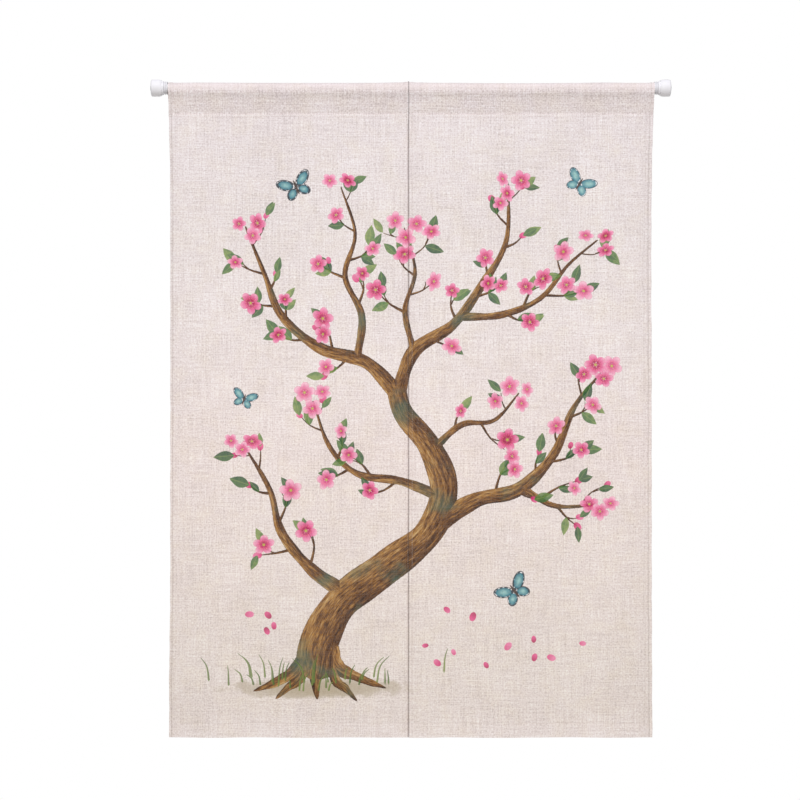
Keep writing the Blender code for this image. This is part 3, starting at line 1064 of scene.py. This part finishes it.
def woven_ground(finish, places):
    """The plain linen-look weave: its colour, with painted light and shade, its height and how its
    threads vary.
    """
    across, along, _ = finish.parts(finish.node("ShaderNodeUVMap", {"uv_map": "cloth"}))
    _, _, up = finish.parts(places)
    threads = [finish.grain(across * g.across, along * g.along, roughness=0.6) for g in GRAINS]
    patch = finish.grain(across * 26.0, along * 26.0, detail=3.0)
    broad = finish.grain(across * 7.0, along * 7.0)
    hue = finish.grain(across * 24.0 + 5.0, along * 24.0, detail=5.0, roughness=0.7)
    turn = math.pi / THREAD_PITCH
    crossing = abs((across * turn).cosine() * (along * turn).cosine())
    first, *others = [(thread - 0.5) * grain.weight for thread, grain in zip(threads, GRAINS)]
    slub = sum(others, first)
    height = crossing * 0.5 + sum(threads[1:], threads[0]) * 0.3

    rim = up.over(-0.0030, 0.0040)
    pocket = up.over(STITCH_Z + 0.0045, 0.0018) * up.under(-0.0100, 0.0035)
    crown = up.over(0.0050, 0.0030)
    crook = up.over(-0.0170, 0.0025) * up.under(-0.0105, 0.0025)
    rougher = 1.0 + up.over(STITCH_Z, 0.002) * 0.32 - rim * 0.72
    tone = 0.5 + slub * rougher * 1.2 + (broad - 0.5) * 0.30 + (patch - 0.5) * 0.18
    tint = finish.ramp(tone, (0.0, CLOTH_DEEP), (0.5, CLOTH_MIDDLE), (1.0, CLOTH_PALE))
    tint = finish.cast((hue - 0.5) * 3.2 + pocket * 0.25 + 0.18, tint, CLOTH_WARMTH)
    # Painted light and shade from the pocket down to the bottom hem
    tint = finish.cast(1.0, tint, finish.ramp((up - STITCH_Z) / CLOTH_BOTTOM_Z, *PAINTED_LIGHT_DOWN_CLOTH))
    # Painted shade on the doubled pocket, on its top over the rod and where it leaves the rod, and
    # along seams
    shade = pocket * DOUBLED_SHADE + crown * CROWN_SHADE + crook * CROOK_SHADE
    pressed = finish.kept("pressed", "Fac") * PAINTED_SEAM_SHADE
    return finish.shade(tint, 1.0 - pressed - shade), height, slub


def deepest_stroke(finish, kind):
    """Which stroke a place lies deepest in: its place along and across it, and how deep."""
    where, depth = None, None
    for i in range(LAYERS[kind]):
        here = finish.kept(f"{kind}_{i}")
        _, aside, half = finish.parts(here)
        inside = half - abs(aside)
        if where is None:
            where, depth = here, inside
        else:
            where = finish.either((inside - depth).over(0.0, 1.6), where, here)
            depth = depth.most(inside)
    return finish.parts(where), depth


def top_stamp(finish, kind, depth_in, softness):
    """The uppermost motif of a kind: the place in it, and how much the motif covers there."""
    where, cover = None, None
    for i in range(LAYERS[kind]):
        here = finish.kept(f"{kind}_{i}")
        mask = depth_in(*finish.parts(here)).over(0.0, softness)
        if where is None:
            where, cover = here, mask
        else:
            where = finish.either(mask.above(0.02), where, here)
            cover = cover.most(mask)
    return finish.parts(where), cover


def wood_ink(finish, places, speckle):
    (along, aside, half), depth = deepest_stroke(finish, "wood")
    cover = (depth + (speckle - 0.5) * 1.8).over(0.0, 0.35)
    ratio = aside / half.most(0.4)
    bark = finish.grain(along * 0.026, aside * 0.20, detail=4.0, roughness=0.6)
    fibre = finish.grain(along * 0.085, aside * 0.75, detail=3.0, roughness=0.6)
    thin = half.under(3.2, 2.0)
    light = 0.42 + ratio * 0.22 + (bark - 0.5) * 1.5 + (fibre - 0.5) * 1.3 - thin * 0.18
    tint = finish.ramp(light, (0.0, UMBER), (0.34, BROWN), (0.66, OCHRE), (1.0, STRAW))
    moss = finish.noise(places, 13.0, 3.0).over(0.60, 0.09) * (1.0 - thin) * 0.55
    tint = finish.blend(moss, tint, MOSS)
    return finish.shade(tint, 1.0 - depth.under(0.9, 0.7) * 0.38), cover


def grass_ink(finish, speckle):
    (along, aside, half), depth = deepest_stroke(finish, "grass")
    blade = finish.grain(along * 0.011, 0.0, detail=1.0)
    tone = (blade - 0.5) * 2.2 + 0.45 + aside / half.most(0.3) * 0.25
    tint = finish.ramp(tone, (0.0, GRASS_DEEP), (1.0, GRASS_PALE))
    return tint, (depth + (speckle - 0.5) * 0.7).over(0.0, 0.3) * 0.88


def leaf_ink(finish, places, speckle):
    """Leaves, and the round buds and fallen petals that are kept among them."""

    def depth_in(x, y, tone):
        pointed = (1.0 - x * x) * (1.0 - x * 0.28) - abs(y)
        rounded = 1.0 - length_of(x, y)
        petal = tone.above(PETAL_TONE)
        return pointed * (1.0 - petal) + rounded * petal + (speckle - 0.5) * 0.16

    (x, y, tone), cover = top_stamp(finish, "leaf", depth_in, 0.05)
    mottle = finish.noise(places, 170.0, 3.0)
    light = tone * 0.7 + (mottle - 0.5) * 0.9 + y * 0.16 + 0.10
    green = finish.ramp(light, (0.0, LEAF_DEEP), (0.45, LEAF_MIDDLE), (1.0, LEAF_PALE))
    green = finish.blend(abs(y).under(0.07, 0.05) * 0.45, green, LEAF_PALE)
    blush = (tone - 1.0) * 0.55 + x * 0.28 + (mottle - 0.5) * 0.4 + 0.2
    pink = finish.ramp(blush, (0.0, PETAL_DEEP), (0.4, PETAL_MIDDLE), (1.0, PETAL_SOFT))
    return finish.blend(tone.above(PETAL_TONE), green, pink), cover * 0.93


def petal_depth(x, y):
    """How deep a place lies in the nearest of a blossom's five round petals."""
    turn = y.angle_over(x) / FIFTH
    folded = (turn - turn.rounded()) * FIFTH
    reach = length_of(x, y)
    ahead = reach * folded.cosine() - 0.58
    aside = reach * folded.sine() * 1.12
    return 0.41 - length_of(ahead, aside), reach, folded


def blossom_ink(finish, places, speckle):
    def depth_in(x, y, tone):
        depth, reach, _ = petal_depth(x, y)
        return depth.most(0.2 - reach) + (speckle - 0.5) * 0.07

    (x, y, tone), cover = top_stamp(finish, "blossom", depth_in, 0.025)
    depth, reach, folded = petal_depth(x, y)
    mottle = finish.noise(places, 210.0, 3.0)
    vein = finish.grain(folded * 9.0, reach * 1.6, tone * 40.0)
    place = reach + (mottle - 0.5) * 0.34 + (vein - 0.5) * 0.42 + (tone - 0.5) * 0.30
    petals = ((0.12, PETAL_DEEP), (0.36, PETAL_MIDDLE), (0.66, PETAL_SOFT), (1.0, PETAL_EDGE))
    tint = finish.ramp(place, *petals)
    tint = finish.blend(depth.under(0.035, 0.03) * 0.55, tint, PETAL_MIDDLE)
    tint = finish.blend(reach.under(0.12, 0.04), tint, PETAL_HEART)
    spoke = abs((y.angle_over(x) * 7.5).sine()) * reach
    stamens = spoke.under(0.035, 0.02) * reach.over(0.12, 0.02) * reach.under(0.40, 0.02)
    tint = finish.blend(stamens * 0.85, tint, STAMEN)
    step, off = (reach - 0.42) / 0.045, spoke / 0.055
    anthers = (step * step + off * off).under(1.0, 0.4)
    return finish.blend(anthers, tint, ANTHER), cover * 0.95


def wing_distance(x, y, middle, turn, size):
    """How far out a place lies in an oval wing: 1 at its rim."""
    c, s = math.cos(turn), math.sin(turn)
    x, y = x - middle[0], y - middle[1]
    return length_of((x * c + y * s) / size[0], (y * c - x * s) / size[1])


def butterfly_ink(finish, places):
    x, y, tone = finish.parts(finish.kept("butterfly_0"))
    outward = abs(x)
    upper = wing_distance(outward, y, (0.50, 0.30), 0.62, (0.54, 0.30))
    lower = wing_distance(outward, y, (0.34, -0.28), -0.75, (0.38, 0.27))
    wing = upper.least(lower)
    body = wing_distance(x, y, (0.0, -0.02), 0.0, (0.055, 0.42))
    mottle = finish.noise(places, 240.0)
    light = 1.05 - wing + (mottle - 0.5) * 0.5 + (tone - 0.5) * 0.3
    tint = finish.ramp(light, (0.16, WING_DEEP), (0.34, WING_MIDDLE), (0.95, WING_PALE))
    spots = abs(wing - 0.86).under(0.05, 0.04) * mottle.over(0.56, 0.03)
    tint = finish.blend(spots, tint, CLOTH_PALE)
    tint = finish.blend(body.under(1.0, 0.15), tint, UMBER)
    return tint, wing.least(body).under(1.0, 0.05) * 0.95


def ground_wash(finish, places, speckle):
    """How strongly a pale wash of colour shows, on which the trunk stands."""
    x, _, z = finish.parts(places)
    across, up = (x - 0.302) / 0.19, (z + 1.080) / 0.020
    cloud = finish.noise(places, 38.0, 4.0, 0.6)
    spread = 1.0 - (across * across + up * up) + (cloud - 0.5) * 2.4
    shade = 1.0 - (across * across * 2.4 + up * up)
    return spread.over(0.25, 0.35) * (0.30 + speckle * 0.25) + shade.over(0.5, 0.5) * 0.25


def cloth_finish():
    """Undyed linen-look cotton with a printed picture, which shows faintly on its back."""
    finish = Finish("printed linen-look cotton", roughness=0.92, sheen=0.12, specular=0.15)
    places = finish.places()
    tint, height, thread = woven_ground(finish, places)
    speckle = finish.noise(places, 420.0, 2.0, 0.6)
    strength = finish.kept("ink_strength", "Fac") * (0.96 + thread * 0.20)
    tint = finish.blend(ground_wash(finish, places, speckle) * strength, tint, WASH)
    inks = (
        wood_ink(finish, places, speckle),
        grass_ink(finish, speckle),
        leaf_ink(finish, places, speckle),
        blossom_ink(finish, places, speckle),
        butterfly_ink(finish, places),
    )
    for ink, cover in inks:
        tint = finish.blend(cover * strength, tint, finish.shade(ink, 1.0 + thread * 0.30))
    finish.set("Base Color", tint)
    finish.dent(height, WEAVE_DEPTH)
    return finish


def thread_finish():
    """Sewing thread: beige in the hems, and white in the pocket's row of stitches."""
    finish = Finish("cotton sewing thread", roughness=0.75, sheen=0.15, specular=0.25)
    places = finish.places()
    grain = finish.noise(places, 1400.0)
    _, _, up = finish.parts(places)
    beige = finish.between(grain, BEIGE_THREAD, 0.2, 0.8)
    white = finish.between(grain, WHITE_THREAD, 0.2, 0.8)
    in_pocket = up.over(STITCH_Z - 0.0015, 0.0004) * up.under(STITCH_Z + 0.0015, 0.0004)
    finish.set("Base Color", finish.blend(in_pocket, beige, white))
    finish.dent(grain, 0.00008)
    return finish


def painted_finish():
    """White enamel on steel tube: nearly smooth, with faint marks of sliding along it."""
    finish = Finish("white painted steel", roughness=0.32, coat=0.3)
    places = finish.places()
    x, y, z = finish.parts(places)
    marks = finish.grain(x * 30.0, y * 1500.0, z * 1500.0, detail=3.0)
    peel = finish.noise(places, 900.0)
    finish.set("Base Color", finish.between(marks, ENAMEL))
    finish.set("Roughness", 0.26 + marks * 0.14)
    finish.dent(peel * 0.6 + marks * 0.4, 0.00003)
    return finish


def moulded_finish():
    """White moulded plastic: fine-grained, with painted shade near its axis, where its grooves are."""
    finish = Finish("white moulded plastic", roughness=0.55, specular=0.28)
    places = finish.places()
    grain = finish.noise(places, 2600.0)
    cloud = finish.noise(places, 120.0, 3.0)
    _, y, z = finish.parts(places)
    # Painted shade near the axis, where the grooves are
    painted_groove_shade = length_of(y, z).under(GROOVE_RADIUS, 0.0003)
    tint = finish.between(cloud * 0.7 + grain * 0.3, PLASTIC)
    finish.set("Base Color", finish.shade(tint, 1.0 - painted_groove_shade * GROOVE_PAINTED_SHADE))
    finish.set("Roughness", 0.46 + grain * 0.18)
    finish.dent(grain, 0.00002)
    return finish


def floor_finish():
    finish = Finish("pale floor", roughness=0.8)
    cloud = finish.noise(finish.places(), 3.0, 3.0)
    finish.set("Base Color", finish.between(cloud, FLOOR))
    return finish


def make_turned(name, start_x, way, outline):
    """A round piece about the rod, drawn out ring by ring from its outer end.

    way is 1 where the piece runs along +X from its start, and -1 where it runs back.
    """
    run, radius = outline[0]
    piece = new_piece(
        name,
        bpy.ops.mesh.primitive_circle_add,
        vertices=TURNED_STEPS,
        radius=radius,
        fill_type="NGON",
        location=(start_x + way * run, 0.0, 0.0),
        rotation=(0.0, math.radians(90), 0.0),
    )
    bpy.ops.object.mode_set(mode="EDIT")
    bpy.ops.mesh.select_all(action="SELECT")
    for (last_run, last_radius), (run, radius) in zip(outline, outline[1:]):
        step = (way * (run - last_run), 0.0, 0.0)
        bpy.ops.mesh.extrude_region_move(TRANSFORM_OT_translate={"value": step})
        size = (1.0, radius / last_radius, radius / last_radius)
        bpy.ops.transform.resize(value=size, center_override=(start_x + way * run, 0.0, 0.0))
    bpy.ops.mesh.select_all(action="SELECT")
    bpy.ops.mesh.remove_doubles(threshold=WELD)
    bpy.ops.mesh.normals_make_consistent(inside=False)
    bpy.ops.object.mode_set(mode="OBJECT")
    edges = piece.modifiers.new("rounded edges", "BEVEL")
    edges.width = ROUNDED_EDGE
    edges.segments = 2
    edges.angle_limit = math.radians(28)
    bpy.ops.object.modifier_apply(modifier=edges.name)
    bpy.ops.object.shade_smooth_by_angle(angle=math.radians(32))
    return piece


def dress(piece, finish):
    piece.data.materials.clear()
    piece.data.materials.append(finish.material)


def make_lamp(lamp):
    """A broad soft light that faces its target and isn't seen itself."""
    bpy.ops.object.light_add(type="AREA", location=lamp.place)
    light = bpy.context.object
    light.name = lamp.name
    light.data.energy = lamp.power
    light.data.color = lamp.tint
    light.visible_camera = False
    light.data.shape = "RECTANGLE"
    light.data.size, light.data.size_y = lamp.size
    aim = Vector(lamp.target) - Vector(lamp.place)
    light.rotation_euler = aim.to_track_quat("-Z", "Y").to_euler()


def make_surround():
    """A surround that the camera sees as white and that lights the piece less strongly."""
    world = bpy.data.worlds.new("white studio")
    bpy.context.scene.world = world
    world.use_nodes = True
    tree = world.node_tree
    seen = tree.nodes.new("ShaderNodeLightPath")
    strength = tree.nodes.new("ShaderNodeMapRange")
    strength.inputs["To Min"].default_value = AMBIENT
    strength.inputs["To Max"].default_value = 1.0
    tree.links.new(seen.outputs["Is Camera Ray"], strength.inputs["Value"])
    tree.nodes["Background"].inputs["Color"].default_value = (1.0, 1.0, 1.0, 1.0)
    tree.links.new(strength.outputs["Result"], tree.nodes["Background"].inputs["Strength"])


def make_studio():
    """A pale floor far below, the white surround, three soft lights and the camera."""
    add, place = bpy.ops.mesh.primitive_circle_add, (MIDDLE[0], 0.0, FLOOR_Z)
    floor = new_piece("floor", add, vertices=96, radius=FLOOR_RADIUS, fill_type="NGON", location=place)
    dress(floor, floor_finish())
    make_surround()
    for lamp in LAMPS:
        make_lamp(lamp)
    bpy.ops.object.camera_add(location=CAMERA_PLACE, rotation=(math.radians(90), 0.0, 0.0))
    camera = bpy.context.object
    camera.data.lens = LENS
    camera.data.sensor_width = SENSOR_WIDTH
    camera.data.clip_end = FAR_CLIP
    bpy.context.scene.camera = camera
    bpy.context.scene.view_settings.view_transform = "Standard"


def main():
    picture = Picture(PICTURE_SEED)
    cloth, thread = cloth_finish(), thread_finish()
    painted, moulded = painted_finish(), moulded_finish()
    panels = (
        (LEFT, "left", LEFT_CUT, ["outer_tube"]),
        (RIGHT, "right", RIGHT_CUT, ["outer_tube", "inner_tube"]),
    )
    for side, name, cut, rod in panels:
        sheet = Sheet(side)
        panel = sheet.make(f"{name}_cloth")
        print_picture(panel, picture)
        dress(panel, cloth)
        stitches = make_stitches(f"{name}_stitches", sheet.seams())
        dress(stitches, thread)
        for piece in (panel, stitches):
            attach(piece, "root")
        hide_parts(f"{name}_panel")

    rod_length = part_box("right_foot")[1].x
    for name, start, way in (("left", 0.0, 1), ("right", rod_length, -1)):
        for kind, outline in (("foot", FOOT_OUTLINE), ("collar", COLLAR_OUTLINE)):
            piece = make_turned(f"{name}_{kind}_moulding", start, way, outline)
            dress(piece, moulded)
            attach(piece, "root")
            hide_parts(f"{name}_{kind}")
    for name in ("outer_tube", "inner_tube"):
        dress(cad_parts[name], painted)

    make_studio()


main()
